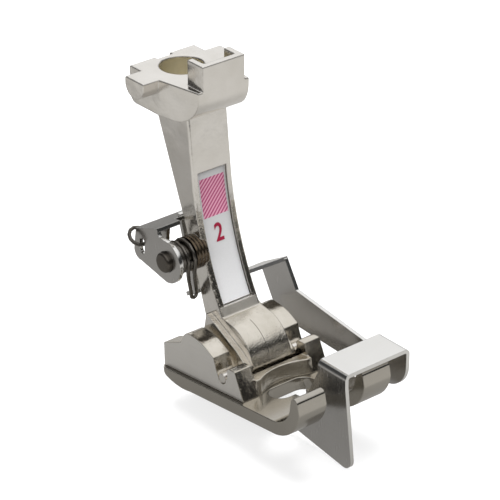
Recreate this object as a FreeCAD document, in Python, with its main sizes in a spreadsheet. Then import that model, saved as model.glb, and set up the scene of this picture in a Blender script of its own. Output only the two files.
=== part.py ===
import FreeCAD, Part
import Sketcher
import math
import os

# Sewing machine presser foot with a hinged sole and a sprung hem guide.
# The origin is on the axis of the socket, level with the top of the head.
# +X is to the right as the machine's user sees it, -Y is to the user, +Z is up.
# All sizes are in millimetres.

V = FreeCAD.Vector
doc = FreeCAD.newDocument("presser_foot")

SIZES = {
    # head: "front" sizes are measured to the user's side, "drop" sizes downwards
    "head_front": 9.2, "head_back": 4.5, "head_half_width": 5.7, "head_nose_half_width": 4.4,
    "head_depth": 5.4, "head_front_round": 4.6, "head_back_round": 1.3, "taper_start": 2.2,
    "arm_half_span": 8.4, "arm_width": 4.0, "arm_depth": 2.8,
    "socket_radius": 3.2, "socket_depth": 5.0, "socket_wall": 0.7,
    "back_slot_width": 2.6, "back_slot_depth": 3.0,
    "fence_half_width": 3.7, "fence_wall": 1.0, "fence_height": 3.7, "fence_return": 3.4,
    # leg
    "leg_width": 7.0, "leg_top_front": 5.5, "leg_bend_front": 6.6, "leg_bend_drop": 15.0,
    "leg_mid_front": 8.8, "leg_mid_drop": 24.6, "leg_low_front": 12.9, "leg_low_drop": 33.7,
    "leg_top_back": 2.4, "leg_waist_front": 7.4, "leg_waist_drop": 29.3,
    "leg_heel_front": 9.8, "leg_heel_drop": 36.6, "leg_edge_round": 0.35,
    # sticker in its recess
    "recess_width": 5.2, "recess_depth": 0.45, "recess_top_drop": 13.7, "recess_bottom_drop": 32.4,
    "label_width": 4.9, "label_thickness": 0.15, "label_margin": 0.15,
    # knuckle and sole hinge
    "hinge_front": 18.0, "hinge_drop": 39.5, "hinge_pin_radius": 0.75, "hinge_clearance": 0.05,
    "knuckle_radius": 1.7, "flange_half_width": 4.4, "sole_pitch": 6.0,
    # hinge block
    "block_half_width": 7.8, "cheek_thickness": 2.9, "seam_drop": 2.3, "block_back": 13.4,
    "block_floor": 0.9, "post_top": 2.0, "cheek_top": 4.4, "cross_wall_top": 0.1,
    # sole plate
    "plate_thickness": 2.0, "plate_half_width": 8.4, "plate_back": 13.8, "curl_start": 11.5,
    "curl_radius": 4.0, "toe_top": 2.6, "toe_slot_width": 6.8, "toe_slot_back": 9.6,
    "opening_width": 7.6, "opening_front": 7.6, "opening_back": 3.9, "blade_slot_width": 1.8,
    "plate_corner": 1.4,
    # guide arm, folded from one sheet
    "gauge": 0.6, "fold_radius": 0.9, "cap_drop": 34.0, "cap_front": 35.4, "cap_length": 5.7,
    "side_offset": 11.6, "blade_tip_drop": 48.6, "blade_tip_front": 36.9,
    # the ear's outer face is measured from the leg's side
    "pivot_front": 7.0, "pivot_drop": 25.2, "ear_offset": 5.3, "ear_radius": 3.2,
    "side_play": 0.05, "behind_leg_inset": 0.5,
    # pivot pin, bush, washer and spring
    "pivot_radius": 1.5, "pivot_stem_radius": 0.9, "pivot_proud": 0.8, "pivot_clearance": 0.05,
    "boss_radius": 2.5, "boss_length": 1.6, "bush_radius": 1.95, "bush_gap": 0.02,
    "washer_radius": 2.7, "washer_thickness": 0.4,
    "wire_radius": 0.28, "coil_radius": 2.3, "coil_pitch": 0.6, "hook_radius": 1.43,
}

sheet = doc.addObject("Spreadsheet::Sheet", "sizes")
for row, (alias, value) in enumerate(SIZES.items(), start=1):
    cell = "A%d" % row
    sheet.set(cell, str(value))
    sheet.setAlias(cell, alias)
doc.recompute()


def size(alias):
    """One driving dimension, read back from the sheet."""
    return float(sheet.get(alias))


def new_body(label):
    body = doc.addObject("PartDesign::Body", label)
    body.Label = label
    return body


def sketch_on(body, role, name, off_plane=0.0, tilt=0.0, shift=(0.0, 0.0)):
    """A sketch on one of the body's own planes, moved off it and tilted about the sketch's first axis."""
    sketch = body.newObject("Sketcher::SketchObject", name)
    plane = [f for f in body.Origin.OriginFeatures if f.Role == role][0]
    sketch.AttachmentSupport = [(plane, "")]
    sketch.MapMode = "FlatFace"
    turn = FreeCAD.Rotation(V(1, 0, 0), tilt)
    sketch.AttachmentOffset = FreeCAD.Placement(V(shift[0], shift[1], off_plane), turn)
    return sketch


def draw(sketch, path):
    """Closed outline. An item is the next corner, or an arc as (point on the way, next corner)."""
    is_arc = isinstance(path[-1][0], tuple)
    first = path[-1][1] if is_arc else path[-1]
    last = V(first[0], first[1], 0)
    for item in path:
        if isinstance(item[0], tuple):
            middle = V(item[0][0], item[0][1], 0)
            end = V(item[1][0], item[1][1], 0)
            sketch.addGeometry(Part.Arc(last, middle, end), False)
        else:
            end = V(item[0], item[1], 0)
            sketch.addGeometry(Part.LineSegment(last, end), False)
        last = end
    return sketch


def circle(sketch, centre, radius):
    """A circle whose radius is bound to the sheet."""
    round_line = Part.Circle(V(centre[0], centre[1], 0), V(0, 0, 1), 1.0)
    index = sketch.addGeometry(round_line, False)
    number = sketch.addConstraint(Sketcher.Constraint("Radius", index, 1.0))
    sketch.setExpression("Constraints[%d]" % number, radius)
    return sketch


def sized(body, kind, sketch, length, both=False, back=False):
    """A pad or pocket of the sketch, its length bound to the sheet."""
    feature = body.newObject("PartDesign::" + kind, sketch.Name + "_" + kind.lower())
    feature.Profile = sketch
    feature.Midplane = both
    feature.Reversed = back
    feature.setExpression("Length", length)
    body.Tip = feature
    return feature


def rounded(body, radius, wanted, kind="Fillet"):
    """Round or bevel the edges of the body's tip that the test picks."""
    base = body.Tip
    doc.recompute()
    names = ["Edge%d" % (i + 1) for i, edge in enumerate(base.Shape.Edges) if wanted(edge)]
    feature = body.newObject("PartDesign::" + kind, body.Label + "_" + kind.lower() + "_%d" % len(names))
    feature.Base = (base, names)
    feature.setExpression("Radius" if kind == "Fillet" else "Size", radius)
    body.Tip = feature
    return feature


def ends(edge):
    points = [vertex.Point for vertex in edge.Vertexes]
    return points if len(points) == 2 else points * 2


def along_x(edge):
    one, other = ends(edge)
    return abs(one.y - other.y) < 1e-6 and abs(one.z - other.z) < 1e-6 and abs(one.x - other.x) > 1e-3


def along_z(edge):
    one, other = ends(edge)
    return abs(one.y - other.y) < 1e-6 and abs(one.x - other.x) < 1e-6 and abs(one.z - other.z) > 1e-3


# Places worked out from the driving sizes
HINGE = V(0, -size("hinge_front"), -size("hinge_drop"))
PIVOT = V(0, -size("pivot_front"), -size("pivot_drop"))
HALF_LEG = size("leg_width") / 2
BOSS_FACE = HALF_LEG + size("boss_length")
EAR_FACE = HALF_LEG + size("ear_offset")
WASHER_FACE = EAR_FACE - size("gauge") - size("side_play")
FENCE_BACK = -(size("head_front") - size("fence_return"))


def leg_front():
    """Corners of the leg's curved front, from the head down: bend, a point on the arc, and its end."""
    bend = (-size("leg_bend_front"), -size("leg_bend_drop"))
    middle = (-size("leg_mid_front"), -size("leg_mid_drop"))
    low = (-size("leg_low_front"), -size("leg_low_drop"))
    return bend, middle, low


def arc_centre(one, two, three):
    """Centre and radius of the circle through three points."""
    curve = Part.Arc(*[V(p[0], p[1], 0) for p in (one, two, three)]).toShape().Curve
    return (curve.Center.x, curve.Center.y), curve.Radius


def front_at(drop, inset):
    """Point of the leg's front at a height, set into the metal by the inset, on the straight or the arc."""
    bend, middle, low = leg_front()
    z = -drop
    if z >= bend[1]:
        rise = (z - bend[1]) / (-size("head_depth") - bend[1])
        y = bend[0] + rise * (-size("leg_top_front") - bend[0])
        return (y + inset, z)
    centre, radius = arc_centre(bend, middle, low)
    side = 1 if centre[0] < bend[0] else -1
    reach = radius + side * inset
    return (centre[0] + side * math.sqrt(reach ** 2 - (z - centre[1]) ** 2), z)


def make_shank():
    body = new_body("shank")
    front, back, deep = -size("head_front"), size("head_back"), -size("head_depth")
    nose, heel = size("head_front_round"), size("head_back_round")
    bow = math.sqrt(0.5)
    # the head's side view: flat on top, a large round below its front, a small one below its back
    side = sketch_on(body, "YZ_Plane", "head_side")
    draw(side, [
        (back, 0), (front, 0), (front, deep + nose + 0.2),
        ((front + nose * (1 - bow), deep + nose * (1 - bow)), (front + nose, deep)),
        (back - heel, deep),
        ((back - heel * (1 - bow), deep + heel * (1 - bow)), (back, deep + heel)),
    ])
    sized(body, "Pad", side, "2 * sizes.head_half_width", both=True)
    # the cross arms that the machine's clamp hooks under, D-shaped in section
    arm = sketch_on(body, "YZ_Plane", "arm_section")
    half = size("arm_width") / 2
    belly = size("arm_depth")
    draw(arm, [
        (half, 0), (-half, 0), (-half, -belly * 0.4),
        ((0, -belly), (half, -belly * 0.4)),
    ])
    sized(body, "Pad", arm, "2 * sizes.arm_half_span", both=True)
    # the leg and the knuckle at its foot
    bend, middle, low = leg_front()
    top = -size("head_depth") + 1.0
    leg = sketch_on(body, "YZ_Plane", "leg_side")
    waist = (-size("leg_waist_front"), -size("leg_waist_drop"))
    foot = (-size("leg_heel_front"), -size("leg_heel_drop"))
    r = size("knuckle_radius")
    draw(leg, [
        (-size("leg_top_front"), top), bend, (middle, low),
        (low[0] - 2.3, low[1] - 0.25),
        ((HINGE.y + 0.9, HINGE.z + 3.6), (HINGE.y - 1.35, HINGE.z + 2.0)),
        (HINGE.y - 1.75, HINGE.z + 1.0),
        (HINGE.y - r, HINGE.z),
        ((HINGE.y, HINGE.z - r), (HINGE.y + r * 0.7, HINGE.z - r * 0.72)),
        foot, waist, (size("leg_top_back"), top),
    ])
    sized(body, "Pad", leg, "sizes.leg_width", both=True)
    # the wider flanges of the knuckle, lower than the leg's own front
    flange = sketch_on(body, "YZ_Plane", "knuckle_flange")
    draw(flange, [
        (HINGE.y + 7.6, HINGE.z + 5.9), (HINGE.y + 0.8, HINGE.z + 2.6),
        (HINGE.y - 1.2, HINGE.z + 1.1),
        ((HINGE.y - r * 0.7, HINGE.z - r * 0.72), (HINGE.y + r * 0.7, HINGE.z - r * 0.72)),
        foot,
    ])
    sized(body, "Pad", flange, "2 * sizes.flange_half_width", both=True)
    # the boss that holds the guide arm's pin
    boss = sketch_on(body, "YZ_Plane", "pivot_boss", off_plane=-BOSS_FACE)
    circle(boss, (PIVOT.y, PIVOT.z), "sizes.boss_radius")
    sized(body, "Pad", boss, "sizes.boss_length + 0.5")
    # the head's front narrows to the fence, seen from above
    taper = sketch_on(body, "XY_Plane", "head_taper")
    wide, narrow, start = size("head_half_width"), size("head_nose_half_width"), -size("taper_start")
    for hand in (-1, 1):
        draw(taper, [
            (hand * wide, start), (hand * narrow, front - 0.01),
            (hand * narrow, front - 1), (hand * (wide + 1), front - 1), (hand * (wide + 1), start),
        ])
    sized(body, "Pocket", taper, "sizes.head_depth + 1")
    # the fence stands on the front of the head, open to the back
    fence = sketch_on(body, "XY_Plane", "fence_plan")
    out, wall = size("fence_half_width"), size("fence_wall")
    draw(fence, [
        (-out, FENCE_BACK), (-out, front), (out, front), (out, FENCE_BACK),
        (out - wall, FENCE_BACK), (out - wall, front + wall), (-out + wall, front + wall),
        (-out + wall, FENCE_BACK),
    ])
    sized(body, "Pad", fence, "sizes.fence_height")
    rounded(body, "sizes.leg_edge_round", lambda e: picked_for_leg(e))
    # socket, its mouth, and the slot behind it
    socket = sketch_on(body, "XY_Plane", "socket_circle")
    circle(socket, (0, 0), "sizes.socket_radius")
    sized(body, "Pocket", socket, "sizes.socket_depth")
    slot = sketch_on(body, "XY_Plane", "back_slot")
    edge = size("back_slot_width") / 2
    inner = size("socket_radius") + size("socket_wall")
    draw(slot, [(-edge, inner), (edge, inner), (edge, back + 1), (-edge, back + 1)])
    sized(body, "Pocket", slot, "sizes.back_slot_depth")
    # recess for the sticker, following the front of the leg
    recess = sketch_on(body, "YZ_Plane", "sticker_recess")
    draw(recess, front_band(0.0, size("recess_depth"), proud=0.6))
    sized(body, "Pocket", recess, "sizes.recess_width", both=True)
    # bores for the two pins
    pin_bore = sketch_on(body, "YZ_Plane", "hinge_bore")
    circle(pin_bore, (HINGE.y, HINGE.z), "sizes.hinge_pin_radius")
    sized(body, "Pocket", pin_bore, "2 * sizes.flange_half_width + 2", both=True)
    stem_bore = sketch_on(body, "YZ_Plane", "stem_bore", off_plane=-BOSS_FACE)
    circle(stem_bore, (PIVOT.y, PIVOT.z), "sizes.pivot_stem_radius")
    sized(body, "Pocket", stem_bore, "sizes.leg_width", back=True)
    return body


def picked_for_leg(edge):
    """The long edges of the leg's front, and the upright edges of the fence."""
    one, other = ends(edge)
    on_side = abs(abs(one.x) - HALF_LEG) < 1e-6 and abs(abs(other.x) - HALF_LEG) < 1e-6
    below = max(one.z, other.z) < -size("head_depth") + 0.01
    above = min(one.z, other.z) > -size("leg_low_drop") - 0.01
    long_enough = edge.Length > 6
    return on_side and below and above and long_enough


def front_band(outer_inset, inner_inset, margin=0.0, proud=0.0):
    """Outline between two offsets of the leg's front, from the recess's top to its bottom."""
    top = size("recess_top_drop") + margin
    bottom = size("recess_bottom_drop") - margin
    turn = size("leg_bend_drop")
    middle = (turn + bottom) / 2
    near = outer_inset - proud
    return [
        front_at(top, near), front_at(turn, near),
        (front_at(middle, near), front_at(bottom, near)),
        front_at(bottom, inner_inset),
        (front_at(middle, inner_inset), front_at(turn, inner_inset)),
        front_at(top, inner_inset),
    ]


def make_label():
    body = new_body("number_label")
    side = sketch_on(body, "YZ_Plane", "label_side")
    floor = size("recess_depth")
    draw(side, front_band(floor - size("label_thickness"), floor, margin=size("label_margin")))
    sized(body, "Pad", side, "sizes.label_width", both=True)
    return body


def cylinder_x(label, radius, start, length, centre):
    """A pin, bush or washer lying along X."""
    body = new_body(label)
    face = sketch_on(body, "YZ_Plane", label + "_face", off_plane=start)
    circle(face, centre, radius)
    sized(body, "Pad", face, length)
    return body


def make_hinge_pin():
    start = -size("block_half_width")
    body = cylinder_x("hinge_pin", "sizes.hinge_pin_radius", start, "2 * sizes.block_half_width", (0, 0))
    body.Placement = FreeCAD.Placement(HINGE, FreeCAD.Rotation())
    return body


def pitched(body):
    """Seat a piece of the sole, drawn about the hinge, with its toes raised by the sole's pitch."""
    body.Placement = FreeCAD.Placement(HINGE, FreeCAD.Rotation(V(-1, 0, 0), size("sole_pitch")))
    body.setExpression("Placement.Rotation.Angle", "sizes.sole_pitch")
    return body


def make_hinge_block():
    body = new_body("hinge_block")
    seam = -size("seam_drop")
    back = size("block_back")
    crown = size("cheek_top")
    gap = size("hinge_pin_radius") + size("hinge_clearance")
    # side view of the cheeks, with the hooked slot that the pin drops into
    side = sketch_on(body, "YZ_Plane", "cheek_side")
    draw(side, [
        (back, seam), (back - 0.3, 1.4), (9.0, 2.7), (8.3, crown - 0.5),
        ((7.6, crown + 0.1), (6.2, crown + 0.15)),
        ((4.0, crown - 0.35), (2.3, 3.1)), (1.6, 2.7), (gap + 0.35, 0.9), (gap, 0),
        ((0, -gap), (-gap, 0)), ((-1.25, 0.9), (-1.2, 1.5)), ((-1.5, 1.9), (-2.1, size("post_top"))),
        (-3.0, size("post_top") - 0.05), (-4.5, seam),
    ])
    sized(body, "Pad", side, "2 * sizes.block_half_width", both=True)
    # the room between the cheeks, open above, in front and behind
    room = sketch_on(body, "YZ_Plane", "room_side")
    draw(room, [
        (back + 1, seam + size("block_floor")), (back + 1, crown + 2), (-6, crown + 2), (-6, seam - 1),
        (2.2, seam - 1), (2.2, seam + size("block_floor")),
    ])
    sized(body, "Pocket", room, "2 * (sizes.block_half_width - sizes.cheek_thickness)", both=True)
    # cross wall in front of the knuckle, hollowed to the needle opening
    wall = sketch_on(body, "XY_Plane", "cross_wall", off_plane=seam)
    inner = size("block_half_width") - size("cheek_thickness") + 0.2
    draw(wall, [
        (-inner, -2.3), (-inner, -4.3), (-inner + 0.9, -4.3),
        ((0, -3.1), (inner - 0.9, -4.3)), (inner, -4.3), (inner, -2.3),
    ])
    sized(body, "Pad", wall, "sizes.seam_drop + sizes.cross_wall_top")
    return pitched(body)


def make_sole_plate():
    body = new_body("sole_plate")
    top = -size("seam_drop")
    thick = size("plate_thickness")
    under = top - thick
    back, start, inner = size("plate_back"), -size("curl_start"), size("curl_radius")
    outer = inner + thick
    lean = math.radians(78)
    half_lean = lean / 2
    hub = (start, top + inner)

    def on_curl(radius, angle):
        return (hub[0] - radius * math.sin(angle), hub[1] - radius * math.cos(angle))

    tip = size("toe_top")
    side = sketch_on(body, "YZ_Plane", "plate_side")
    draw(side, [
        (back, top), (start, top), (on_curl(inner, half_lean), on_curl(inner, lean)),
        (on_curl(inner, lean)[0] - 0.25, tip - 0.7),
        ((on_curl(inner, lean)[0] - 0.95, tip), (on_curl(inner, lean)[0] - 1.75, tip - 0.6)),
        on_curl(outer, lean), (on_curl(outer, half_lean), (start, under)),
        (7.0, under), ((back - 2.0, under + 0.5), (back, top - 0.5)),
    ])
    sized(body, "Pad", side, "2 * sizes.plate_half_width", both=True)
    rounded(body, "sizes.plate_corner", lambda e: along_z(e) and abs(e.Vertexes[0].Point.y - back) < 0.01)
    # needle opening, the narrow slot for the blade and the wide slot between the toes
    plan = sketch_on(body, "XY_Plane", "opening_plan", off_plane=under - 1)
    wide = size("opening_width") / 2
    near, far = -size("opening_front"), -size("opening_back")
    deep = (far - near) / 2
    draw(plan, [
        (-wide + deep, far), ((-wide, (near + far) / 2), (-wide + deep, near)),
        (wide - deep, near), ((wide, (near + far) / 2), (wide - deep, far)),
    ])
    sized(body, "Pocket", plan, "sizes.plate_thickness + 4", back=True)
    slot = sketch_on(body, "XY_Plane", "blade_slot", off_plane=under - 1)
    thin, broad, mouth = size("blade_slot_width") / 2, size("toe_slot_width") / 2, -size("toe_slot_back")
    draw(slot, [
        (-thin, near + 0.5), (-thin, mouth + 0.2), ((-broad * 0.75, mouth - 0.9), (-broad, mouth - 3.0)),
        (-broad, mouth - 20), (broad, mouth - 20), (broad, mouth - 3.0),
        ((broad * 0.75, mouth - 0.9), (thin, mouth + 0.2)), (thin, near + 0.5),
    ])
    sized(body, "Pocket", slot, "sizes.plate_thickness + 12", back=True)
    return pitched(body)


def by_pin(along, up):
    """Point of a side view, measured from the guide arm's pin."""
    return (PIVOT.y + along, PIVOT.z + up)


def folded_sheet(across, up, gauge, radius):
    """Section of a sheet that hangs at zero, folds over to a flat top, and hangs again at the far side."""
    bow = 1 - math.sqrt(0.5)
    small = radius - gauge
    return [
        (0, -up), (0, -radius), ((radius * bow, -radius * bow), (radius, 0)),
        (across - radius, 0), ((across - radius * bow, -radius * bow), (across, -radius)),
        (across, -up), (across - gauge, -up), (across - gauge, -radius),
        ((across - gauge - small * bow, -gauge - small * bow), (across - radius, -gauge)),
        (radius, -gauge), ((gauge + small * bow, -gauge - small * bow), (gauge, -radius)),
        (gauge, -up),
    ]


def make_guide_arm():
    body = new_body("guide_arm")
    gauge = size("gauge")
    cap_z, cap_y = -size("cap_drop"), -size("cap_front")
    back_y = cap_y + size("cap_length")
    side_x = size("side_offset")
    narrow = HALF_LEG - size("behind_leg_inset")
    # cap with the tops of the blade and of the side strip
    cap = sketch_on(body, "XZ_Plane", "cap_section", off_plane=-back_y, shift=(-gauge / 2, cap_z))
    draw(cap, folded_sheet(side_x + gauge / 2, 2.4, gauge, size("fold_radius")))
    sized(body, "Pad", cap, "sizes.cap_length")
    # hem blade
    blade = sketch_on(body, "YZ_Plane", "blade_side")
    tip_y, tip_z = -size("blade_tip_front"), -size("blade_tip_drop")
    draw(blade, [
        (back_y, cap_z - 2.0), (cap_y, cap_z - 2.0), (tip_y + 0.1, tip_z + 1.5),
        ((tip_y + 0.6, tip_z + 0.3), (tip_y + 1.7, tip_z)),
        (back_y + 5.6, tip_z + 1.5), (back_y + 3.1, tip_z + 6.2),
    ])
    sized(body, "Pad", blade, "sizes.gauge", both=True)
    # side strip and the upright at its back
    strip = sketch_on(body, "YZ_Plane", "strip_side", off_plane=side_x - gauge)
    draw(strip, [
        (back_y, cap_z - 2.0), (back_y, cap_z - 2.9), (-11.9, -34.7), by_pin(-2.35, -5.35), by_pin(3.05, -8.45),
        (-6.7, -38.4), ((-7.4, -39.7), (-9.2, -40.3)), (cap_y + 4.4, cap_z - 7.1),
        ((cap_y + 1.4, cap_z - 6.0), (cap_y, cap_z - 2.9)), (cap_y, cap_z - 2.0),
    ])
    sized(body, "Pad", strip, "sizes.gauge")
    # plate that folds over from the upright and runs behind the leg, tilted about X
    fold = sketch_on(body, "XY_Plane", "shelf_plan", off_plane=0)
    fold.AttachmentOffset = FreeCAD.Placement(V(0, *by_pin(-2.2, -5.1)), FreeCAD.Rotation(V(1, 0, 0), -30))
    draw(fold, [
        (side_x, 0), (HALF_LEG + 2.0, 2.4), (HALF_LEG - 0.1, 3.3), (-narrow, 3.3), (-narrow, 6.0), (side_x, 6.24),
    ])
    sized(body, "Pad", fold, "sizes.gauge", back=True)
    # back plate behind the leg
    plate = sketch_on(body, "YZ_Plane", "back_plate_side")
    draw(plate, [by_pin(4.1, 3.9), by_pin(0.7, -7.0), by_pin(1.35, -7.2), by_pin(4.75, 3.9)])
    sized(body, "Pad", plate, "sizes.leg_width - 2 * sizes.behind_leg_inset", both=True)
    # web that runs from the left ear to the back plate
    web = sketch_on(body, "XY_Plane", "web_plan")
    web.AttachmentOffset = FreeCAD.Placement(V(0, *by_pin(7.0, 2.6)), FreeCAD.Rotation(V(1, 0, 0), -19.8))
    draw(web, [
        (-EAR_FACE, 0), (-EAR_FACE, -5.3), (-HALF_LEG - 1.2, -5.3), (-HALF_LEG - 0.7, -3.3),
        (narrow, -3.3), (narrow, 0),
    ])
    sized(body, "Pad", web, "sizes.gauge", back=True)
    # left ear on the pin
    ear = sketch_on(body, "YZ_Plane", "ear_side", off_plane=-EAR_FACE)
    r = size("ear_radius")
    draw(ear, [
        by_pin(6.9, 2.35), by_pin(2.1, 4.1), by_pin(1.5, 3.2), by_pin(0.3, r * 0.99),
        (by_pin(-r, 0), by_pin(0, -r)), by_pin(5.8, -2.1),
        (by_pin(6.9, -1.7), by_pin(7.35, -0.7)),
    ])
    sized(body, "Pad", ear, "sizes.gauge")
    # curled tab between the ear and the leg
    tab = sketch_on(body, "YZ_Plane", "tab_side", off_plane=-BOSS_FACE - 0.75)
    draw(tab, [
        by_pin(3.4, 3.5), by_pin(5.8, 2.6), (by_pin(5.8, 1.2), by_pin(5.0, 0)),
        (by_pin(4.0, 0.3), by_pin(3.7, 1.3)),
    ])
    sized(body, "Pad", tab, "sizes.gauge")
    # running bores on the pin and the hole for the spring's end
    bore = sketch_on(body, "YZ_Plane", "pivot_bores", off_plane=-EAR_FACE - 1)
    circle(bore, (PIVOT.y, PIVOT.z), "sizes.pivot_radius + sizes.pivot_clearance")
    sized(body, "Pocket", bore, "5", back=True)
    hook = sketch_on(body, "YZ_Plane", "hook_hole", off_plane=-EAR_FACE - 1)
    draw(hook, [
        by_pin(4.9, 1.0), (by_pin(5.45, 1.55), by_pin(6.0, 1.0)), by_pin(6.0, -0.4),
        (by_pin(5.45, -0.95), by_pin(4.9, -0.4)),
    ])
    sized(body, "Pocket", hook, "2", back=True)
    return body


def make_pivot_pin():
    body = new_body("pivot_pin")
    outer_face = -EAR_FACE - size("pivot_proud")
    shoulder = -BOSS_FACE
    section = sketch_on(body, "XY_Plane", "pin_section")
    r, stem, bevel = size("pivot_radius"), size("pivot_stem_radius"), 0.25
    draw(section, [
        (outer_face, 0), (outer_face, r - bevel), (outer_face + bevel, r), (shoulder, r),
        (shoulder, stem), (shoulder + size("leg_width"), stem), (shoulder + size("leg_width"), 0),
    ])
    turned = body.newObject("PartDesign::Revolution", "pin_turned")
    turned.Profile = section
    turned.ReferenceAxis = (section, ["H_Axis"])
    turned.Angle = 360
    body.Tip = turned
    body.Placement = FreeCAD.Placement(PIVOT, FreeCAD.Rotation())
    return body


def ring_x(label, radius, start, length):
    """A washer or bush round the pivot pin."""
    body = new_body(label)
    face = sketch_on(body, "YZ_Plane", label + "_face", off_plane=start)
    circle(face, (0, 0), radius)
    circle(face, (0, 0), "sizes.pivot_radius + sizes.bush_gap")
    sized(body, "Pad", face, length)
    body.Placement = FreeCAD.Placement(PIVOT, FreeCAD.Rotation())
    return body


def spring_points():
    """Middle of the spring's wire: hooked ring, left coil, hairpin down behind the leg, right coil."""
    mean, pitch, wire = size("coil_radius"), size("coil_pitch"), size("wire_radius")
    left = -WASHER_FACE + size("washer_thickness") + wire + 0.07
    right = -BOSS_FACE - wire - 0.04
    points = []

    def by(x, along, up):
        points.append(V(x, *by_pin(along, up)))

    ring, reach = V(-EAR_FACE + size("gauge") / 2, *by_pin(6.65, 1.3)), size("hook_radius")
    for angle in (312, 295, 270, 240, 210, 180, 150, 120, 90, 60, 30):
        turn = math.radians(angle)
        points.append(ring + V(math.cos(turn), 0.8 * math.sin(turn), 0.6 * math.sin(turn)) * reach)
    for x, along, up in ((0.32, 6.4, 1.35), (0.25, 5.0, 1.5), (0.1, 3.0, 1.95), (0, 1.3, 2.22)):
        by(left + x, along, up)

    def coil(first, last, step, x_first):
        way = 1 if step > 0 else -1
        for angle in range(first, last, step):
            turn = math.radians(angle)
            x = x_first + way * pitch * abs(angle - first) / 360.0
            by(x, mean * math.cos(turn), mean * math.sin(turn))

    coil(90, 541, 30, left)
    middle = left + pitch * 1.25
    for x, along, up in ((0, -2.25, -1.0), (0.15, -2.05, -2.1), (0.5, -1.75, -3.2), (0.95, -1.4, -4.3),
                         (1.4, -1.0, -5.4)):
        by(middle + x, along, up)
    # the hairpin's turn, beside the leg
    for x, along, up in ((1.48, -0.75, -6.3), (1.34, -0.7, -6.75), (0.98, -0.7, -6.9), (0.62, -0.7, -6.75),
                         (0.48, -0.75, -6.3), (0.9, -1.1, -5.1), (1.35, -1.5, -4.0)):
        by(-HALF_LEG - x, along, up)
    for x, along, up in ((0.22, -1.85, -3.0), (0.02, -2.1, -2.0), (0, -2.25, -1.0)):
        by(right + x, along, up)
    coil(180, -200, -30, right)
    return points


def make_spring():
    """One wire: eight-sided rings square to the spring's middle line, joined in turn."""
    points = spring_points()
    last = len(points) - 1
    side = V(0, 0, 1)
    rings = []
    for number, point in enumerate(points):
        heading = points[min(number + 1, last)] - points[max(number - 1, 0)]
        heading.normalize()
        side = side - heading * side.dot(heading)
        side.normalize()
        ring = doc.addObject("Part::RegularPolygon", "wire_ring_%d" % number)
        ring.Polygon = 8
        ring.setExpression("Circumradius", "sizes.wire_radius")
        turn = FreeCAD.Rotation(side, heading.cross(side), heading, "ZXY")
        ring.Placement = FreeCAD.Placement(point, turn)
        rings.append(ring)
    spring = doc.addObject("Part::Loft", "torsion_spring")
    spring.Sections = rings
    spring.Solid = True
    spring.Ruled = True
    spring.Label = "torsion_spring"
    return spring


pieces = [
    make_shank(), make_label(), make_hinge_pin(), make_hinge_block(), make_sole_plate(),
    make_guide_arm(), make_pivot_pin(),
    ring_x("spring_bush", "sizes.bush_radius", -WASHER_FACE + size("washer_thickness") + size("side_play"),
           "sizes.ear_offset - sizes.gauge - 2 * sizes.side_play - sizes.washer_thickness - sizes.boss_length"),
    ring_x("spacer_washer", "sizes.washer_radius", -WASHER_FACE, "sizes.washer_thickness"),
    make_spring(),
]
doc.recompute()

os.makedirs("parts", exist_ok=True)
for item in doc.Objects:
    bad = [state for state in item.State if state in ("Invalid", "Error")]
    if bad:
        raise RuntimeError("%s failed: %s" % (item.Label, bad))
for piece in pieces:
    shape = piece.Shape
    if shape.isNull() or not shape.isValid():
        raise RuntimeError("%s has no valid shape" % piece.Label)
for piece in pieces:
    piece.Shape.exportStep("parts/%s.step" % piece.Label)
    box = piece.Shape.BoundBox
    print(piece.Label, "solids", len(piece.Shape.Solids), "volume %.1f" % piece.Shape.Volume,
          "x %.1f..%.1f y %.1f..%.1f z %.1f..%.1f" % (
              box.XMin, box.XMax, box.YMin, box.YMax, box.ZMin, box.ZMax))
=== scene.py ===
import bpy
import bmesh
import math
from mathutils import Vector, Matrix
from mathutils.bvhtree import BVHTree


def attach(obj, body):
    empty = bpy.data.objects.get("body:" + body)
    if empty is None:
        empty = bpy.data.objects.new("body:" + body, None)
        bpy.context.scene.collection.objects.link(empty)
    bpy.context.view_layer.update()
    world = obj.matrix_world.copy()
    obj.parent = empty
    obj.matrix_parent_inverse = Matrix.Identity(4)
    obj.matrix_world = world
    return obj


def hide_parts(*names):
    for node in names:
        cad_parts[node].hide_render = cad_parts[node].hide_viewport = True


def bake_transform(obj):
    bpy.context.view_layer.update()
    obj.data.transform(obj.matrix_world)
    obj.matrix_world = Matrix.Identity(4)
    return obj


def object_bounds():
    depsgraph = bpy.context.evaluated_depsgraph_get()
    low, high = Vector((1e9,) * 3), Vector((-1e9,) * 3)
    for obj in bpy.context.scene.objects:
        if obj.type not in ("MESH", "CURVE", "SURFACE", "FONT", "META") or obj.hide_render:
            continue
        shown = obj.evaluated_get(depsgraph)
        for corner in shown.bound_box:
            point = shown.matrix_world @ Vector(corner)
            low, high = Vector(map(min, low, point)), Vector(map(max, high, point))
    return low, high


# A sewing machine presser foot: nickel-plated casting, hinged sole and a sprung sheet-steel hem guide.
# The loaded solids give the shapes. Here their edges are eased, the knuckle's nose is crowned, a digit
# is laid on the sticker, and the finishes and the studio are made.
# Sizes are in mm. Places are measured from the middle of the socket's rim: X right, Y back, Z up.

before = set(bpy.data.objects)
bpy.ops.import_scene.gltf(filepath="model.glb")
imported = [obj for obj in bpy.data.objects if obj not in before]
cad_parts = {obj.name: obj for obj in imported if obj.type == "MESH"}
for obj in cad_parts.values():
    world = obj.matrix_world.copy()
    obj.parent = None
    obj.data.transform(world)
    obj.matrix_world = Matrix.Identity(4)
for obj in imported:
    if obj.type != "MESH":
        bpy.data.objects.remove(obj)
cad_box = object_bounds()
MM = 0.001


# Small helpers

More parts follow.
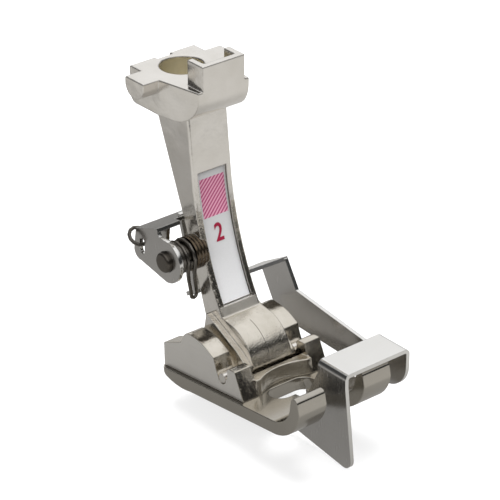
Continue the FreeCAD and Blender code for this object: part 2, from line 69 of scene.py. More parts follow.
def linear(code):
    """sRGB hex to the linear colour that shaders use."""
    parts = [int(code[i:i + 2], 16) / 255 for i in (1, 3, 5)]
    return [p / 12.92 if p <= 0.04045 else ((p + 0.055) / 1.055) ** 2.4 for p in parts] + [1.0]


def add(tree, kind, links=None, **settings):
    """Add a node. A setting is an attribute, or in_NAME for an input; links are {input: output socket}.
    A mix of colours takes inputs 6 and 7 and gives output 2."""
    made = tree.nodes.new(kind)
    for key, value in settings.items():
        if key.startswith("in_"):
            name = key[3:]
            socket = made.inputs[int(name)] if name.isdigit() else made.inputs[name.replace("_", " ")]
            socket.default_value = value
        else:
            setattr(made, key, value)
    for key, output in (links or {}).items():
        tree.links.new(output, made.inputs[key])
    return made


def new_material(name):
    """An empty material and its node tree."""
    made = bpy.data.materials.new(name)
    made.use_nodes = True
    made.node_tree.nodes.clear()
    return made, made.node_tree


# Finishes

# a noise texture's values lie mostly between these
NOISE_LOW, NOISE_HIGH = 0.3, 0.7

# how far the highlight spreads over an edge, on the castings and on the ground and sheet pieces
CAST_EDGE, SHEET_EDGE = 0.26, 0.12

# the size of the soft clouds in the gloss, on the castings and on the ground and sheet pieces
CAST_CLOUD, SHEET_CLOUD = 3.5, 4.0

# a pore's size against the grain's
PORE_SHARE = 1.6

# the mould's parting line: where it runs in X, half its dark width, and where it has faded out
PARTING_X, PARTING_DARK, PARTING_END = -0.35, 0.02, 0.07

# a ground line's width against its length
LINE_STRETCH = 0.03

# the striped patch on the sticker, and its stripes: their distance along X, and X gained per Z
PATCH_TOP, PATCH_FOOT, PATCH_HALF_WIDTH = -14.9, -20.6, 2.2
STRIPE_SPACING, STRIPE_LEAN = 0.71, 1.08


def nickel_plate(name, colour, deep, rough, grain_mm, pits, ripple, parting=0.0):
    """Bright nickel over a die casting: a soft, cloudy gloss that changes from spot to spot, with fine
    pits where the casting was rough. Grain is the size of the pits. Pits and ripple are how strongly
    they and the clouds bend the reflection. Parting darkens the mould's fine line down the middle."""
    made, tree = new_material(name)
    place = add(tree, "ShaderNodeTexCoord").outputs["Object"]
    xyz = add(tree, "ShaderNodeSeparateXYZ", {0: place})
    from_line = add(tree, "ShaderNodeMath", {0: xyz.outputs["X"]}, operation="ADD", in_1=-PARTING_X * MM)
    beside = add(tree, "ShaderNodeMath", {0: from_line.outputs[0]}, operation="ABSOLUTE")
    line = add(tree, "ShaderNodeMapRange", {"Value": beside.outputs[0]},
               in_From_Min=PARTING_DARK * MM, in_From_Max=PARTING_END * MM,
               in_To_Min=parting, in_To_Max=0.0)
    rounded = add(tree, "ShaderNodeBevel", samples=4, in_Radius=CAST_EDGE * MM)
    clouds = add(tree, "ShaderNodeTexNoise", {"Vector": place},
                 in_Scale=1 / (CAST_CLOUD * MM), in_Detail=3.0)
    pitting = add(tree, "ShaderNodeTexNoise", {"Vector": place},
                  in_Scale=1 / (grain_mm * MM), in_Detail=4.0, in_Roughness=0.65)
    pores = add(tree, "ShaderNodeTexVoronoi", {"Vector": place},
                in_Scale=1 / (grain_mm * PORE_SHARE * MM))
    pore_depth = add(tree, "ShaderNodeMapRange", {"Value": pores.outputs["Distance"]},
                     in_From_Min=0.0, in_From_Max=0.22, in_To_Min=-0.8, in_To_Max=0.0)
    height = add(tree, "ShaderNodeMath", {0: pitting.outputs["Fac"], 1: pore_depth.outputs[0]},
                 operation="ADD")
    tint = add(tree, "ShaderNodeMix", {"Factor": clouds.outputs["Fac"]}, data_type="RGBA",
               in_6=linear(colour), in_7=linear(deep))
    lined = add(tree, "ShaderNodeMix", {"Factor": line.outputs[0], 6: tint.outputs[2]}, data_type="RGBA",
                in_7=linear("#3A3732"))
    gloss = add(tree, "ShaderNodeMapRange", {"Value": pitting.outputs["Fac"]},
                in_From_Min=NOISE_LOW, in_From_Max=NOISE_HIGH,
                in_To_Min=rough * 0.75, in_To_Max=rough * 1.35)
    fine = add(tree, "ShaderNodeBump", {"Height": height.outputs[0], "Normal": rounded.outputs[0]},
               in_Strength=pits, in_Distance=0.05 * MM)
    wavy = add(tree, "ShaderNodeBump", {"Height": clouds.outputs["Fac"], "Normal": fine.outputs[0]},
               in_Strength=ripple, in_Distance=0.3 * MM)
    shader = add(tree, "ShaderNodeBsdfPrincipled",
                 {"Base Color": lined.outputs[2], "Roughness": gloss.outputs[0], "Normal": wavy.outputs[0]},
                 in_Metallic=1.0)
    add(tree, "ShaderNodeOutputMaterial", {"Surface": shader.outputs[0]})
    return made


def ground_steel(name, colour, deep, rough, line_mm, along, depth):
    """Ground or brushed metal: fine lines along one axis, which spread the highlight across them."""
    made, tree = new_material(name)
    place = add(tree, "ShaderNodeTexCoord").outputs["Object"]
    stretch = [1.0, 1.0, 1.0]
    stretch["XYZ".index(along)] = LINE_STRETCH
    mapped = add(tree, "ShaderNodeMapping", {"Vector": place}, in_Scale=stretch)
    lines = add(tree, "ShaderNodeTexNoise", {"Vector": mapped.outputs[0]},
                in_Scale=1 / (line_mm * MM), in_Detail=3.0, in_Roughness=0.6)
    clouds = add(tree, "ShaderNodeTexNoise", {"Vector": place},
                 in_Scale=1 / (SHEET_CLOUD * MM), in_Detail=2.0)
    both = add(tree, "ShaderNodeMix", {"A": clouds.outputs["Fac"], "B": lines.outputs["Fac"]},
               data_type="FLOAT", in_Factor=0.5)
    tint = add(tree, "ShaderNodeMix", {"Factor": both.outputs[0]}, data_type="RGBA",
               in_6=linear(colour), in_7=linear(deep))
    gloss = add(tree, "ShaderNodeMapRange", {"Value": lines.outputs["Fac"]},
                in_From_Min=NOISE_LOW, in_From_Max=NOISE_HIGH,
                in_To_Min=rough * 0.8, in_To_Max=rough * 1.25)
    rounded = add(tree, "ShaderNodeBevel", samples=4, in_Radius=SHEET_EDGE * MM)
    bump = add(tree, "ShaderNodeBump", {"Height": lines.outputs["Fac"], "Normal": rounded.outputs[0]},
               in_Strength=depth, in_Distance=0.02 * MM)
    shader = add(tree, "ShaderNodeBsdfPrincipled",
                 {"Base Color": tint.outputs[2], "Roughness": gloss.outputs[0], "Normal": bump.outputs[0]},
                 in_Metallic=1.0)
    add(tree, "ShaderNodeOutputMaterial", {"Surface": shader.outputs[0]})
    return made


def ringed_steel(name, colour, deep, rough, ring_mm):
    """Turned metal, coloured dark as painted shade, with close rings round the pin's line, which catch a
    thin highlight each.
    Ring_mm is the distance from one ring to the next."""
    made, tree = new_material(name)
    place = add(tree, "ShaderNodeTexCoord").outputs["Object"]
    xyz = add(tree, "ShaderNodeSeparateXYZ", {0: place})
    count = add(tree, "ShaderNodeMath", {0: xyz.outputs["X"]}, operation="MULTIPLY",
                in_1=1 / (ring_mm * MM))
    ring = add(tree, "ShaderNodeMath", {0: count.outputs[0]}, operation="PINGPONG", in_1=0.5)
    mottle = add(tree, "ShaderNodeTexNoise", {"Vector": place}, in_Scale=1 / (0.8 * MM), in_Detail=2.0)
    tint = add(tree, "ShaderNodeMix", {"Factor": mottle.outputs["Fac"]}, data_type="RGBA",
               in_6=linear(colour), in_7=linear(deep))
    gloss = add(tree, "ShaderNodeMapRange", {"Value": mottle.outputs["Fac"]},
                in_To_Min=rough * 0.8, in_To_Max=rough * 1.25)
    bump = add(tree, "ShaderNodeBump", {"Height": ring.outputs[0]}, in_Strength=0.9, in_Distance=0.3 * MM)
    shader = add(tree, "ShaderNodeBsdfPrincipled",
                 {"Base Color": tint.outputs[2], "Roughness": gloss.outputs[0], "Normal": bump.outputs[0]},
                 in_Metallic=1.0)
    add(tree, "ShaderNodeOutputMaterial", {"Surface": shader.outputs[0]})
    return made


def printed_film(name):
    """Printed vinyl film: pale grey ground, and a patch of slanting pink stripes printed at its top.
    The stripes' spacing along X and their lean are set to match the photograph's."""
    made, tree = new_material(name)
    place = add(tree, "ShaderNodeTexCoord").outputs["Object"]
    xyz = add(tree, "ShaderNodeSeparateXYZ", {0: place})
    slanted = add(tree, "ShaderNodeMath", {0: xyz.outputs["Z"]}, operation="MULTIPLY", in_1=STRIPE_LEAN)
    across = add(tree, "ShaderNodeMath", {0: xyz.outputs["X"], 1: slanted.outputs[0]},
                 operation="SUBTRACT")
    count = add(tree, "ShaderNodeMath", {0: across.outputs[0]}, operation="MULTIPLY",
                in_1=1 / (STRIPE_SPACING * MM))
    wave = add(tree, "ShaderNodeMath", {0: count.outputs[0]}, operation="PINGPONG", in_1=0.5)
    stripe = add(tree, "ShaderNodeMapRange", {"Value": wave.outputs[0]}, in_From_Min=0.2, in_From_Max=0.3)
    hatch = add(tree, "ShaderNodeMix", {"Factor": stripe.outputs[0]}, data_type="RGBA",
                in_6=linear("#E5A9C0"), in_7=linear("#B34A77"))
    # the patch stops short of the sticker's edges
    in_height = add(tree, "ShaderNodeMath", {0: xyz.outputs["Z"]}, operation="COMPARE",
                    in_1=(PATCH_TOP + PATCH_FOOT) / 2 * MM, in_2=(PATCH_TOP - PATCH_FOOT) / 2 * MM)
    in_width = add(tree, "ShaderNodeMath", {0: xyz.outputs["X"]}, operation="COMPARE",
                   in_1=0.0, in_2=PATCH_HALF_WIDTH * MM)
    on_patch = add(tree, "ShaderNodeMath", {0: in_height.outputs[0], 1: in_width.outputs[0]},
                   operation="MULTIPLY")
    speckle = add(tree, "ShaderNodeTexNoise", {"Vector": place}, in_Scale=1 / (0.25 * MM), in_Detail=2.0)
    ground = add(tree, "ShaderNodeMix", {"Factor": speckle.outputs["Fac"]}, data_type="RGBA",
                 in_6=linear("#CBCBCC"), in_7=linear("#D3D3D4"))
    face = add(tree, "ShaderNodeMix",
               {"Factor": on_patch.outputs[0], 6: ground.outputs[2], 7: hatch.outputs[2]},
               data_type="RGBA")
    bump = add(tree, "ShaderNodeBump", {"Height": speckle.outputs["Fac"]},
               in_Strength=0.08, in_Distance=0.01 * MM)
    shader = add(tree, "ShaderNodeBsdfPrincipled",
                 {"Base Color": face.outputs[2], "Normal": bump.outputs[0]}, in_Roughness=0.42)
    add(tree, "ShaderNodeOutputMaterial", {"Surface": shader.outputs[0]})
    return made


def printing_ink(name, colour):
    """Screen-printed ink, a little uneven in its gloss."""
    made, tree = new_material(name)
    place = add(tree, "ShaderNodeTexCoord").outputs["Object"]
    mottle = add(tree, "ShaderNodeTexNoise", {"Vector": place}, in_Scale=1 / (0.3 * MM), in_Detail=2.0)
    gloss = add(tree, "ShaderNodeMapRange", {"Value": mottle.outputs["Fac"]},
                in_To_Min=0.35, in_To_Max=0.5)
    shader = add(tree, "ShaderNodeBsdfPrincipled", {"Roughness": gloss.outputs[0]},
                 in_Base_Color=linear(colour))
    add(tree, "ShaderNodeOutputMaterial", {"Surface": shader.outputs[0]})
    return made


# nickel over a smooth die casting: a soft mirror with faint clouds in it
plated_casting = nickel_plate("nickel_on_casting", "#EFECE8", "#DCD8D1",
                              rough=0.17, grain_mm=0.20, pits=0.07, ripple=0.32)

# nickel over rough casting: a gloss that is mottled where it mirrors something dark. In this and the next
# three the grain is a guess, drawn about two pixels wide in the photograph's view so that it can show:
# the photograph doesn't give the real one's size
rough_casting = nickel_plate("nickel_on_rough_rims", "#E8E3DA", "#BFB8AA",
                             rough=0.14, grain_mm=0.30, pits=0.75, ripple=0.45)

# nickel over the hinge block: shallower pits, so that more of the mirror is left
block_casting = nickel_plate("nickel_on_block_casting", "#E8E3DA", "#BFB8AA",
                             rough=0.12, grain_mm=0.30, pits=0.38, ripple=0.45)

# satin nickel: a broad, even sheen, in which the grain doesn't show
satin_strip = nickel_plate("satin_nickel_strip", "#F4F1EA", "#DDD8CD",
                           rough=0.52, grain_mm=0.30, pits=0.40, ripple=0.20)

# nickel over the knuckle: a cloudy gloss with the mould's dark line down the middle
knuckle_casting = nickel_plate("nickel_on_knuckle", "#E8E3DA", "#BFB8AA",
                               rough=0.10, grain_mm=0.30, pits=0.62, ripple=0.35, parting=0.8)

# turned metal in painted shade: brown-black, with a thin highlight on each ring
turned_boss = ringed_steel("blackened_turned_boss", "#7A6C5A", "#463D33", rough=0.24, ring_mm=0.56)

# nickel in the bore, painted a warmer yellow for the light that bounces from wall to wall and comes out warm
# and soft
warm_bore = nickel_plate("warm_nickel_in_bore", "#F9F5E6", "#F3ECD8",
                         rough=0.42, grain_mm=0.30, pits=0.04, ripple=0.10)

# nickel over ground side walls: a pale satin. In this and the next five the lines' spacing is a guess, a
# pixel or less in the photograph's view: the blade shows faint streaks, the walls and the sole none
ground_cheek = ground_steel("ground_nickel_side", "#F4F2EE", "#E8E5E0",
                            rough=0.42, line_mm=0.10, along="Y", depth=0.30)

# polished sole: a darker mirror, blurred a little
polished_sole = ground_steel("polished_sole", "#BCB8B0", "#ACA79E",
                             rough=0.16, line_mm=0.14, along="Y", depth=0.10)

# polished spring sheet: bright, with a clear mirror
sheet_steel = ground_steel("polished_spring_sheet", "#EBEAE8", "#DFDEDB",
                           rough=0.14, line_mm=0.09, along="Z", depth=0.08)

# the same sheet on the arm's faces to the left, greyer as painted shade, with a softer highlight
sheet_side = ground_steel("brushed_sheet_side", "#C8C6C4", "#B6B4B1",
                          rough=0.22, line_mm=0.11, along="Z", depth=0.14)

# oiled dark steel: a brown-grey sheen with lines along the pin
dark_steel = ground_steel("oiled_dark_steel", "#77726B", "#55504A",
                          rough=0.30, line_mm=0.12, along="X", depth=0.30)

# drawn spring wire: a mid-grey satin that brightens where it turns to the light
spring_wire = ground_steel("drawn_spring_wire", "#8B8781", "#5E5A55",
                           rough=0.28, line_mm=0.10, along="Z", depth=0.25)

# printed vinyl film: pale and satin, with no mirror in it
sticker_film = printed_film("printed_sticker")

# screen-printed ink: deep red, with a gloss that varies a little
red_ink = printing_ink("red_ink", "#9A1B3B")


# Pieces

# corners nearer than this are merged, and faces that turn by less than this, in degrees, are joined
MERGE_WITHIN, FLAT_WITHIN = 0.002, 1.0

# edges that turn by more than these, in degrees, are rounded, and are kept as edges in the shading
ROUNDED_FROM, CREASED_FROM = 28, 32

SOCKET_RADIUS = 3.2
BORE_TOP, BORE_FOOT = -0.5, -5.1

# the leg's front: the rims beside the sticker, the strip under it, and the foot that starts below them
RIMS_TOP, RIMS_FOOT, RIMS_HALF_WIDTH = -19.0, -33.2, 3.5
STRIP_TOP, STRIP_FOOT, STRIP_HALF_WIDTH = -32.5, -33.75, 0.5
FOOT_BACK = -9.5

# the boss beside the spring, turned round the line of the guide arm's pin
PIN_Y, PIN_Z = -7.0, -25.2
BOSS_RADIUS, BOSS_FACE, BOSS_ROOT = 2.55, -4.9, -3.3

# the knuckle's nose: the middles of its top edge and its foot, how far it bulges between them, half its
# width, and how near the flat a corner lies that is part of it
NOSE_TOP, NOSE_FOOT = Vector((0, -15.2, -33.95)), Vector((0, -19.35, -37.5))
NOSE_CROWN, NOSE_HALF_WIDTH, NOSE_SKIN = 0.7, 3.6, 0.6

# between these lie the middles of the nose's faces
NOSE_FACES_TOP, NOSE_FACES_FOOT, NOSE_FACES_BACK, NOSE_FACES_HALF_WIDTH = -33.9, -37.8, -15.0, 3.4

# the outer faces of the hinge block's side walls lie outside this, and to the right of, behind and above
# these lie the guide arm's outermost edges at the back
CHEEK_X = 7.6
FOLD_X, FOLD_FRONT, FOLD_FOOT = 11.5, -12.0, -34.0


def turns(edge, degrees):
    """Whether the two faces at an edge turn by more than the angle."""
    return len(edge.link_faces) == 2 and edge.calc_face_angle(0) > math.radians(degrees)


def eased(node, width_mm, materials, name, body, segments=3, wide_mm=0, wide=None, shape=None,
          sharp=None):
    """A copy of a CAD solid with merged corners and rounded edges, which stands for the solid.
    Edges that the wide test picks, by their middle in mm, get the wide rounding, and those that the
    sharp test picks get none. Shape moves a corner before the edges are rounded: it takes and gives
    a point in mm."""
    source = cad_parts[node]
    mesh = source.data.copy()
    mesh.name = name
    form = bmesh.new()
    form.from_mesh(mesh)
    bmesh.ops.remove_doubles(form, verts=form.verts, dist=MERGE_WITHIN * MM)
    bmesh.ops.dissolve_degenerate(form, edges=form.edges, dist=MERGE_WITHIN * MM)
    bmesh.ops.dissolve_limit(form, angle_limit=math.radians(FLAT_WITHIN), verts=form.verts,
                             edges=form.edges)
    if shape:
        for corner in form.verts:
            corner.co = shape(corner.co / MM) * MM
        form.normal_update()
    largest = max(width_mm, wide_mm)
    if width_mm:
        weight = form.edges.layers.float.new("bevel_weight_edge")
        for edge in form.edges:
            middle = (edge.verts[0].co + edge.verts[1].co) / 2 / MM
            if turns(edge, ROUNDED_FROM) and not (sharp and sharp(middle)):
                edge[weight] = 1.0 if wide and wide(middle) else width_mm / largest
    form.to_mesh(mesh)
    form.free()
    piece = bpy.data.objects.new(name, mesh)
    bpy.context.scene.collection.objects.link(piece)
    mesh.materials.clear()
    for material in materials:
        mesh.materials.append(material)
    if width_mm:
        easing = piece.modifiers.new("eased_edges", "BEVEL")
        easing.width = largest * MM
        easing.segments = segments
        easing.limit_method = "WEIGHT"
        easing.use_clamp_overlap = True
        easing.harden_normals = False
        easing.miter_outer = "MITER_ARC"
        bake(piece)
    smooth(piece)
    # wide flat faces keep flat shading, and the narrow roundings carry the turn
    flatter = piece.modifiers.new("flat_faces", "WEIGHTED_NORMAL")
    flatter.keep_sharp = True
    bake(piece)
    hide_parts(node)
    if body:
        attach(piece, body)
    return piece


def bake(piece):
    """Apply the piece's modifiers to its mesh."""
    view = bpy.context.evaluated_depsgraph_get()
    done = bpy.data.meshes.new_from_object(piece.evaluated_get(view))
    piece.modifiers.clear()
    old = piece.data
    piece.data = done
    bpy.data.meshes.remove(old)


def smooth(piece):
    """Smooth shading that keeps the sharper edges."""
    mesh = piece.data
    form = bmesh.new()
    form.from_mesh(mesh)
    for face in form.faces:
        face.smooth = True
    for edge in form.edges:
        edge.smooth = not turns(edge, CREASED_FROM)
    form.to_mesh(mesh)
    form.free()


def paint(piece, material, wanted):
    """Give one of the piece's materials to the faces that the test picks, by their middle in mm and
    their normal."""
    number = piece.data.materials.find(material.name)
    for face in piece.data.polygons:
        if wanted(face.center / MM, face.normal):
            face.material_index = number


def printed_digit(text, ink, film, centre_x, foot, top, width):
    """A digit printed on the sticker, laid on its curved face."""
    # thicker strokes, in the letter's own units, and in mm where the search for the film starts and
    # how far the ink stands off it
    thicker, ray_start, above_film = 0.022, -100, 0.04
    line = bpy.data.curves.new("digit_line", "FONT")
    line.body = text
    line.offset = thicker
    holder = bpy.data.objects.new("digit_line", line)
    bpy.context.scene.collection.objects.link(holder)
    view = bpy.context.evaluated_depsgraph_get()
    mesh = bpy.data.meshes.new_from_object(holder.evaluated_get(view))
    bpy.data.objects.remove(holder)
    across = [v.co.x for v in mesh.vertices]
    up = [v.co.y for v in mesh.vertices]
    face = BVHTree.FromPolygons([v.co for v in film.data.vertices],
                                [p.vertices[:] for p in film.data.polygons])
    for vertex in mesh.vertices:
        u = (vertex.co.x - min(across)) / (max(across) - min(across)) - 0.5
        v = (vertex.co.y - min(up)) / (max(up) - min(up))
        x, z = (centre_x + u * width) * MM, (foot + v * (top - foot)) * MM
        hit = face.ray_cast(Vector((x, ray_start * MM, z)), Vector((0, 1, 0)))[0]
        vertex.co = (x, hit.y - above_film * MM, z)
    mesh.materials.clear()
    mesh.materials.append(ink)
    piece = bpy.data.objects.new("printed_digit", mesh)
    bpy.context.scene.collection.objects.link(piece)
    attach(piece, "shank")


def on_socket_rim(middle):
    """Edges round the socket's mouth."""
    return abs(math.hypot(middle.x, middle.y) - SOCKET_RADIUS) < 0.12 and abs(middle.z) < 0.05


def below_the_arms(middle):
    """Edges under the top of the head's arms, which stay as the loaded solid has them."""
    return middle.z < -0.1


def on_shelf_fold(middle):
    """The guide arm's outermost edges on the right, towards the back."""
    return middle.x > FOLD_X and middle.z > FOLD_FOOT and middle.y > FOLD_FRONT


def crowned_nose(p):
    """The knuckle's nose bulges between its top edge and its foot, where the loaded solid is nearly flat."""
    along = NOSE_FOOT - NOSE_TOP
    reach = along.length
    along.normalize()
    out = Vector((0, along.z, -along.y))
    from_top = Vector((0, p.y, p.z)) - NOSE_TOP
    share = from_top.dot(along) / reach
    if not 0 < share < 1 or abs(from_top.dot(out)) > NOSE_SKIN or abs(p.x) > NOSE_HALF_WIDTH:
        return p
    bulge = NOSE_CROWN * (1 - (2 * share - 1) ** 2)
    return Vector((p.x, 0, 0)) + NOSE_TOP + along * (share * reach) + out * bulge


def on_rims(p, n):
    """The front faces beside the sticker."""
    return RIMS_FOOT < p.z < RIMS_TOP and n.y < -0.6 and abs(p.x) < RIMS_HALF_WIDTH


def on_foot(p, n):
    """What lies below the rims and in front of the foot's back, apart from the sides."""
    return p.z < RIMS_FOOT and p.y < FOOT_BACK and abs(n.x) < 0.9


def in_bore(p, n):
    """The socket's wall."""
    return math.hypot(p.x, p.y) < SOCKET_RADIUS + 0.02 and BORE_FOOT < p.z < BORE_TOP


def on_nose(p, n):
    """The knuckle's crowned nose."""
    in_height = NOSE_FACES_FOOT < p.z < NOSE_FACES_TOP
    return in_height and p.y < NOSE_FACES_BACK and abs(p.x) < NOSE_FACES_HALF_WIDTH and n.z > 0.1


def on_strip(p, n):
    """The narrow strip under the sticker."""
    return STRIP_FOOT < p.z < STRIP_TOP and n.y < -0.3 and abs(p.x) < STRIP_HALF_WIDTH


def on_boss(p, n):
    """The boss's face, and its round side."""
    near_pin = math.hypot(p.y - PIN_Y, p.z - PIN_Z) < BOSS_RADIUS
    return near_pin and (p.x < BOSS_FACE or p.x < BOSS_ROOT and abs(n.x) < 0.1)


shank = eased("shank", 0.28,
              [plated_casting, rough_casting, warm_bore, knuckle_casting, turned_boss, satin_strip],
              "shank_casting", "shank", wide_mm=0.45, wide=on_socket_rim,
              shape=crowned_nose, sharp=below_the_arms)
paint(shank, rough_casting, on_rims)
paint(shank, rough_casting, on_foot)
# painted light: the bore's wall is coloured warm for the light bounced inside it
paint(shank, warm_bore, in_bore)
paint(shank, knuckle_casting, on_nose)
paint(shank, satin_strip, on_strip)
# painted shade: the boss's face and round side are coloured brown-black
paint(shank, turned_boss, on_boss)

block = eased("hinge_block", 0.2, [block_casting, ground_cheek], "hinge_block_casting",
              "sole")
paint(block, ground_cheek, lambda p, n: abs(n.x) > 0.98 and abs(p.x) > CHEEK_X)

plate = eased("sole_plate", 0.3, [polished_sole], "sole_plate_polished", "sole")
guide = eased("guide_arm", 0.12, [sheet_steel, sheet_side], "guide_arm_sheet", "guide",
              wide_mm=0.4, wide=on_shelf_fold)
# the arm's faces to the left get the sheet in painted shade
paint(guide, sheet_side, lambda p, n: n.x < -0.9)
pin = eased("pivot_pin", 0.12, [dark_steel], "pivot_pin_turned", "shank", segments=2)
bush = eased("spring_bush", 0.08, [dark_steel], "spring_bush_turned", "shank", segments=2)
washer = eased("spacer_washer", 0.1, [sheet_steel], "spacer_washer_pressed", "shank",
               segments=2)
hinge = eased("hinge_pin", 0.15, [plated_casting], "hinge_pin_pressed", "shank",
              segments=2)
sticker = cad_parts["number_label"]
sticker.data.materials.clear()
sticker.data.materials.append(sticker_film)
printed_digit("2", red_ink, sticker, centre_x=-0.05, foot=-24.2, top=-21.6, width=1.45)
# the spring's wire is given no body, and its place is baked into its mesh, in metres
wire = eased("torsion_spring", 0, [spring_wire], "torsion_spring_wire", None)
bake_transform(wire)


# The photograph's view

AZIMUTH, ELEVATION = math.radians(-39.7), math.radians(28.0)
PIXELS_PER_MM, FRAME_PIXELS = 7.2, 500
ORIGIN_PIXEL = (182.1, 64.5)
DISTANCE = 350 * MM
SENSOR = 36

to_right = Vector((math.cos(AZIMUTH), math.sin(AZIMUTH), 0))
to_camera = Vector((math.sin(AZIMUTH) * math.cos(ELEVATION), -math.cos(AZIMUTH) * math.cos(ELEVATION),
                    math.sin(ELEVATION)))
to_top = to_camera.cross(to_right)
half_frame = FRAME_PIXELS / 2
aim_right, aim_down = half_frame - ORIGIN_PIXEL[0], half_frame - ORIGIN_PIXEL[1]
aim = (to_right * aim_right - to_top * aim_down) * (MM / PIXELS_PER_MM)

lens = bpy.data.cameras.new("studio_camera")
lens.sensor_width = SENSOR
lens.lens = SENSOR * DISTANCE / (FRAME_PIXELS / PIXELS_PER_MM * MM)
lens.clip_start, lens.clip_end = 0.01, 20
camera = bpy.data.objects.new("studio_camera", lens)
camera.matrix_world = Matrix.Translation(aim + to_camera * DISTANCE) @ Matrix(
    (to_right, to_top, to_camera)).transposed().to_4x4()
bpy.context.scene.collection.objects.link(camera)
bpy.context.scene.camera = camera


# Floor and light

# where the lamps aim, and the middle of the foot's painted shadow
FOOT_MIDDLE = (0, -14, -26)
PAINTED_SHADOW_Y = -19

# the sheet of paper: half its side, and how far it lies below the foot
PAPER_REACH, PAPER_GAP = 3000, 0.1

# how bright the room is at each height, from the horizon at 0 to straight up at 1
ROOM_LEVELS = {
    "front": [(0.0, 0.03), (0.42, 0.04), (0.62, 0.90), (0.78, 1.0)],
    "behind": [(0.0, 0.45), (0.12, 0.65), (0.35, 0.95), (0.6, 1.0)],
    "left": [(0.0, 0.20), (0.25, 0.05), (0.66, 0.05), (0.85, 0.9)],
}


def studio_floor():
    """Seamless pale paper under the foot. The plating mirrors it as a glow of painted light, with a painted
    shadow of the foot.
    """
    made, tree = new_material("pale_paper")
    place = add(tree, "ShaderNodeTexCoord").outputs["Object"]
    fibre = add(tree, "ShaderNodeTexNoise", {"Vector": place}, in_Scale=1 / (1.5 * MM), in_Detail=3.0)
    tint = add(tree, "ShaderNodeMix", {"Factor": fibre.outputs["Fac"]}, data_type="RGBA",
               in_6=linear("#F6F6F6"), in_7=linear("#FBFBFB"))
    paper = add(tree, "ShaderNodeBsdfPrincipled", {"Base Color": tint.outputs[2]}, in_Roughness=0.9)
    glow = add(tree, "ShaderNodeEmission", in_Color=(1, 1, 1, 1), in_Strength=0.98)
    lit = add(tree, "ShaderNodeMixShader", {1: paper.outputs[0], 2: glow.outputs[0]}, in_0=0.72)
    # painted reflection: the plating mirrors the paper as a glow, bright to the front right, dimmer behind,
    # dark far away
    xyz = add(tree, "ShaderNodeSeparateXYZ", {0: place})
    across = add(tree, "ShaderNodeMath", {0: xyz.outputs["X"], 1: xyz.outputs["Y"]},
                 operation="SUBTRACT")
    to_front = add(tree, "ShaderNodeMapRange", {"Value": across.outputs[0]},
                   in_From_Min=-90 * MM, in_From_Max=90 * MM, in_To_Min=0.375, in_To_Max=0.70)
    # painted light: brighter again at the far left, which the head's side mirrors
    far_left = add(tree, "ShaderNodeMapRange", {"Value": xyz.outputs["X"]},
                   in_From_Min=-55 * MM, in_From_Max=-85 * MM, in_To_Min=0.0, in_To_Max=0.28)
    bright = add(tree, "ShaderNodeMath", {0: to_front.outputs[0], 1: far_left.outputs[0]},
                 operation="ADD")
    reach_out = add(tree, "ShaderNodeVectorMath", {0: place}, operation="LENGTH")
    fade = add(tree, "ShaderNodeMapRange", {"Value": reach_out.outputs["Value"]},
               in_From_Min=160 * MM, in_From_Max=500 * MM, in_To_Min=1.0, in_To_Max=0.10)
    level_out = add(tree, "ShaderNodeMath", {0: bright.outputs[0], 1: fade.outputs[0]},
                    operation="MULTIPLY")
    # a painted shadow of the foot in that glow, which the foot's lowest faces mirror
    from_foot = add(tree, "ShaderNodeVectorMath", {0: place}, operation="DISTANCE",
                    in_1=(0, PAINTED_SHADOW_Y * MM, cad_box[0].z))
    shadow = add(tree, "ShaderNodeMapRange", {"Value": from_foot.outputs["Value"]},
                 in_From_Min=14 * MM, in_From_Max=42 * MM, in_To_Min=0.62, in_To_Max=1.0)
    shaded = add(tree, "ShaderNodeMath", {0: level_out.outputs[0], 1: shadow.outputs[0]},
                 operation="MULTIPLY")
    painted_reflection_glow = add(tree, "ShaderNodeEmission", {"Strength": shaded.outputs[0]},
                   in_Color=linear("#FFFDF9"))
    # the camera sees the lit paper, and all other rays see the glow with its painted light and shadow
    seen = add(tree, "ShaderNodeLightPath")
    shader = add(tree, "ShaderNodeMixShader",
                 {0: seen.outputs["Is Camera Ray"], 1: painted_reflection_glow.outputs[0], 2: lit.outputs[0]})
    add(tree, "ShaderNodeOutputMaterial", {"Surface": shader.outputs[0]})
    mesh = bpy.data.meshes.new("floor")
    reach, level = PAPER_REACH * MM, cad_box[0].z - PAPER_GAP * MM
    corners = [(-reach, -reach, level), (reach, -reach, level), (reach, reach, level),
               (-reach, reach, level)]
    mesh.from_pydata(corners, [], [(0, 1, 2, 3)])
    mesh.materials.append(made)
    floor = bpy.data.objects.new("floor", mesh)
    bpy.context.scene.collection.objects.link(floor)


def soft_light(name, place_mm, size_mm, watts):
    """A square softbox aimed at the middle of the foot."""
    data = bpy.data.lights.new(name, "AREA")
    data.shape, data.size, data.energy = "SQUARE", size_mm * MM, watts
    lamp = bpy.data.objects.new(name, data)
    spot = Vector(place_mm) * MM
    lamp.location = spot
    lamp.rotation_mode = "QUATERNION"
    lamp.rotation_quaternion = (spot - Vector(FOOT_MIDDLE) * MM).to_track_quat("Z", "Y")
    # the plating takes its highlights from the room, so the lamps light only the sticker and the paper
    lamp.visible_glossy = False
    bpy.context.scene.collection.objects.link(lamp)


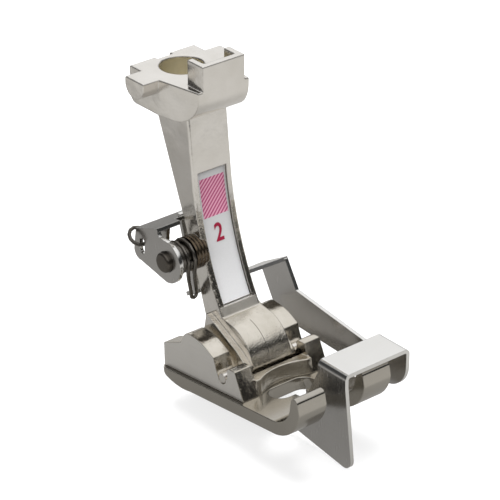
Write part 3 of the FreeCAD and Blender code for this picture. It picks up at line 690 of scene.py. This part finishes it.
def studio_room():
    """What the plating reflects: a white backdrop behind, a dark room to the left, and in front a dark
    band at eye level with a bright box above it, which draws the dark lines on the edges."""
    world = bpy.data.worlds.new("studio_room")
    bpy.context.scene.world = world
    world.use_nodes = True
    tree = world.node_tree
    tree.nodes.clear()
    way = add(tree, "ShaderNodeTexCoord").outputs["Generated"]
    xyz = add(tree, "ShaderNodeSeparateXYZ", {0: way})
    sides = {}
    for side, levels in ROOM_LEVELS.items():
        ramp = add(tree, "ShaderNodeValToRGB", {"Fac": xyz.outputs["Z"]})
        stops = ramp.color_ramp.elements
        stops.remove(stops[-1])
        for number, (height, grey) in enumerate(levels):
            stop = stops[0] if number == 0 else stops.new(height)
            stop.position = height
            stop.color = (grey, grey, grey, 1)
        sides[side] = ramp.outputs[0]
    to_back = add(tree, "ShaderNodeMapRange", {"Value": xyz.outputs["Y"]},
                  in_From_Min=-0.15, in_From_Max=0.25)
    to_left = add(tree, "ShaderNodeMapRange", {"Value": xyz.outputs["X"]},
                  in_From_Min=0.10, in_From_Max=-0.25)
    rear = add(tree, "ShaderNodeMix", {"Factor": to_left.outputs[0], 6: sides["behind"], 7: sides["left"]},
               data_type="RGBA")
    wall = add(tree, "ShaderNodeMix", {"Factor": to_back.outputs[0], 6: sides["front"], 7: rear.outputs[2]},
               data_type="RGBA")
    seen = add(tree, "ShaderNodeLightPath")
    sky = add(tree, "ShaderNodeBackground", {"Color": wall.outputs[2]}, in_Strength=1.0)
    plain = add(tree, "ShaderNodeBackground", in_Color=(1, 1, 1, 1), in_Strength=1.0)
    mixed = add(tree, "ShaderNodeMixShader",
                {0: seen.outputs["Is Camera Ray"], 1: sky.outputs[0], 2: plain.outputs[0]})
    add(tree, "ShaderNodeOutputWorld", {"Surface": mixed.outputs[0]})


studio_floor()
studio_room()
soft_light("ceiling_light", place_mm=(60, 60, 320), size_mm=260, watts=3.0)
soft_light("left_light", place_mm=(-320, -60, 140), size_mm=200, watts=0.8)
soft_light("right_light", place_mm=(300, -120, 160), size_mm=160, watts=0.7)
bpy.context.scene.view_settings.view_transform = "Standard"
